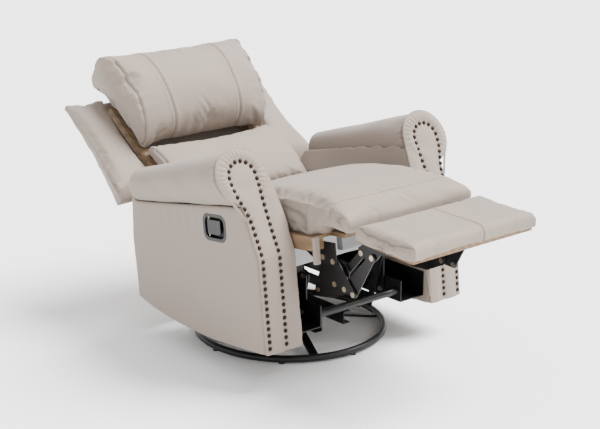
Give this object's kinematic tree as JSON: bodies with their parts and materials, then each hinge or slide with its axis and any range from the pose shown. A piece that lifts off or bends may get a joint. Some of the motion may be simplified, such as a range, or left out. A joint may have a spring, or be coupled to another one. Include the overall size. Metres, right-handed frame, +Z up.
{
  "type": "nursery glider recliner chair",
  "caption": "Upholstered swivel glider recliner with rolled arms, nailhead fronts, a winged head pillow and a fold-out footrest on a round ring base.",
  "frame": {"origin": "on the floor, under the middle of the chair's box with its footrest out and its back down", "axes": "+Z up; +Y to the chair's rear, so the footrest points to -Y; +X to the sitter's left"},
  "size_m": [0.89, 1.474, 0.8183],
  "materials": {
    "black_steel": "semi-gloss black powder coat",
    "plated_steel": "zinc plated",
    "black_plastic": "fine matte",
    "timber": "bare plywood and sawn timber",
    "cover_fabric": "soft matte woven upholstery in warm greige",
    "bronze_nail": "dark bronze",
    "grey_wrap": "light grey wrap",
    "white_lining": "white lining"
  },
  "bodies": {
    "base": {"base_ring": "black_steel", "base_spokes": "black_steel", "base_glides": "black_plastic", "swivel_lower_race": "plated_steel", "swivel_bolt": "plated_steel"},
    "turntable": {"swivel_upper_race": "plated_steel", "turntable_rails": "black_steel", "turntable_tubes": "black_steel", "hanger_brackets": "black_steel", "hanger_pins": "plated_steel"},
    "rear_links": {"rear_glide_links": "black_steel"},
    "front_links": {"front_glide_links": "black_steel"},
    "chassis": {"lower_glide_pins": "plated_steel", "body_cross_tube": "black_steel", "rear_rail": "timber", "slide_rails": "black_steel", "lever_pin": "plated_steel", "lever_bezel": "black_plastic", "base_channel_right": "black_steel", "base_channel_left": "black_steel", "arm_roll_right": "cover_fabric", "arm_roll_left": "cover_fabric", "arm_body_right": "cover_fabric", "arm_body_left": "cover_fabric", "arm_frame_right": "timber", "arm_frame_left": "timber", "arm_front_right": "cover_fabric", "arm_front_left": "cover_fabric", "nailheads_right": "bronze_nail", "nailheads_left": "bronze_nail"},
    "lever": {"release_lever": "black_plastic"},
    "seat": {"seat_side_plate_right": "black_steel", "seat_side_plate_left": "black_steel", "seat_frame": "timber", "seat_front_rail": "grey_wrap", "seat_lining": "white_lining", "seat_end_panels": "cover_fabric", "slide_blocks": "black_plastic", "seat_cross_tubes": "black_steel", "seat_springs": "plated_steel", "seat_rivets": "plated_steel", "seat_cushion": "cover_fabric"},
    "cranks": {"ottoman_cranks": "black_steel", "crank_rivets": "plated_steel"},
    "rockers": {"ottoman_rockers": "black_steel"},
    "carriers": {"ottoman_carriers": "black_steel", "carrier_rivets": "plated_steel"},
    "ties": {"ottoman_ties": "black_steel"},
    "footrest": {"footrest_brackets": "black_steel", "footrest_rivets": "plated_steel", "footrest_board": "timber", "footrest_cushion": "cover_fabric"},
    "back": {"back_brackets": "black_steel", "back_frame": "timber", "lumbar_cushion": "cover_fabric", "head_pillow": "cover_fabric", "wing_right": "cover_fabric", "wing_left": "cover_fabric", "back_cover": "cover_fabric"}
  },
  "joints": [
    {"name": "swivel", "type": "hinge", "parent": "base", "child": "turntable", "pos_m": [0, 0.04198, 0.046], "axis": [0, 0, 1], "continuous": true},
    {"name": "glide", "type": "hinge", "parent": "turntable", "child": "rear_links", "pos_m": [0, 0.21698, 0.272], "axis": [-1, 0, 0], "range_deg": [-20, 20]},
    {"name": "front_link_swing", "type": "hinge", "parent": "turntable", "child": "front_links", "pos_m": [0, -0.20302, 0.272], "axis": [-1, 0, 0], "range_deg": [-20, 20]},
    {"name": "chassis_swing", "type": "hinge", "parent": "rear_links", "child": "chassis", "pos_m": [0, 0.21698, 0.162], "axis": [-1, 0, 0], "range_deg": [-20, 20]},
    {"name": "release_pull", "type": "hinge", "parent": "chassis", "child": "lever", "pos_m": [-0.3855, -0.05952, 0.43656], "axis": [0, -0.1149, -0.9934], "range_deg": [0, 25], "stiffness_Nm_per_rad": 0.6, "springref_deg": -17.19},
    {"name": "seat_shift", "type": "slide", "parent": "chassis", "child": "seat", "axis": [0, 0.9934, -0.1149], "range_m": [0, 0.1005]},
    {"name": "recline", "type": "hinge", "parent": "seat", "child": "back", "pos_m": [0, 0.19415, 0.3146], "axis": [1, 0, 0], "range_deg": [0, 32]},
    {"name": "footrest", "type": "hinge", "parent": "seat", "child": "cranks", "pos_m": [0, -0.34999, 0.37957], "axis": [1, 0, 0], "range_deg": [0, 76]},
    {"name": "rocker_swing", "type": "hinge", "parent": "seat", "child": "rockers", "pos_m": [0, -0.39164, 0.37633], "axis": [1, 0, 0], "range_deg": [0, 76.5]},
    {"name": "carrier_swing", "type": "hinge", "parent": "cranks", "child": "carriers", "pos_m": [0, -0.42655, 0.30084], "axis": [1, 0, 0], "range_deg": [-76.5, 0]},
    {"name": "tie_swing", "type": "hinge", "parent": "cranks", "child": "ties", "pos_m": [0, -0.37857, 0.30224], "axis": [1, 0, 0], "range_deg": [-76.5, 0]},
    {"name": "footrest_swing", "type": "hinge", "parent": "carriers", "child": "footrest", "pos_m": [0, -0.53368, 0.41894], "axis": [1, 0, 0], "range_deg": [0, 76.5]}
  ],
  "couplings": [
    {"joint": "front_link_swing", "follows": "glide", "ratio": 1},
    {"joint": "chassis_swing", "follows": "glide", "ratio": -1},
    {"joint": "seat_shift", "follows": "recline", "m_per_rad": 0.17905},
    {"joint": "rocker_swing", "follows": "footrest", "ratio": 1},
    {"joint": "carrier_swing", "follows": "footrest", "ratio": -1},
    {"joint": "tie_swing", "follows": "footrest", "ratio": -1},
    {"joint": "footrest_swing", "follows": "footrest", "ratio": 1}
  ]
}
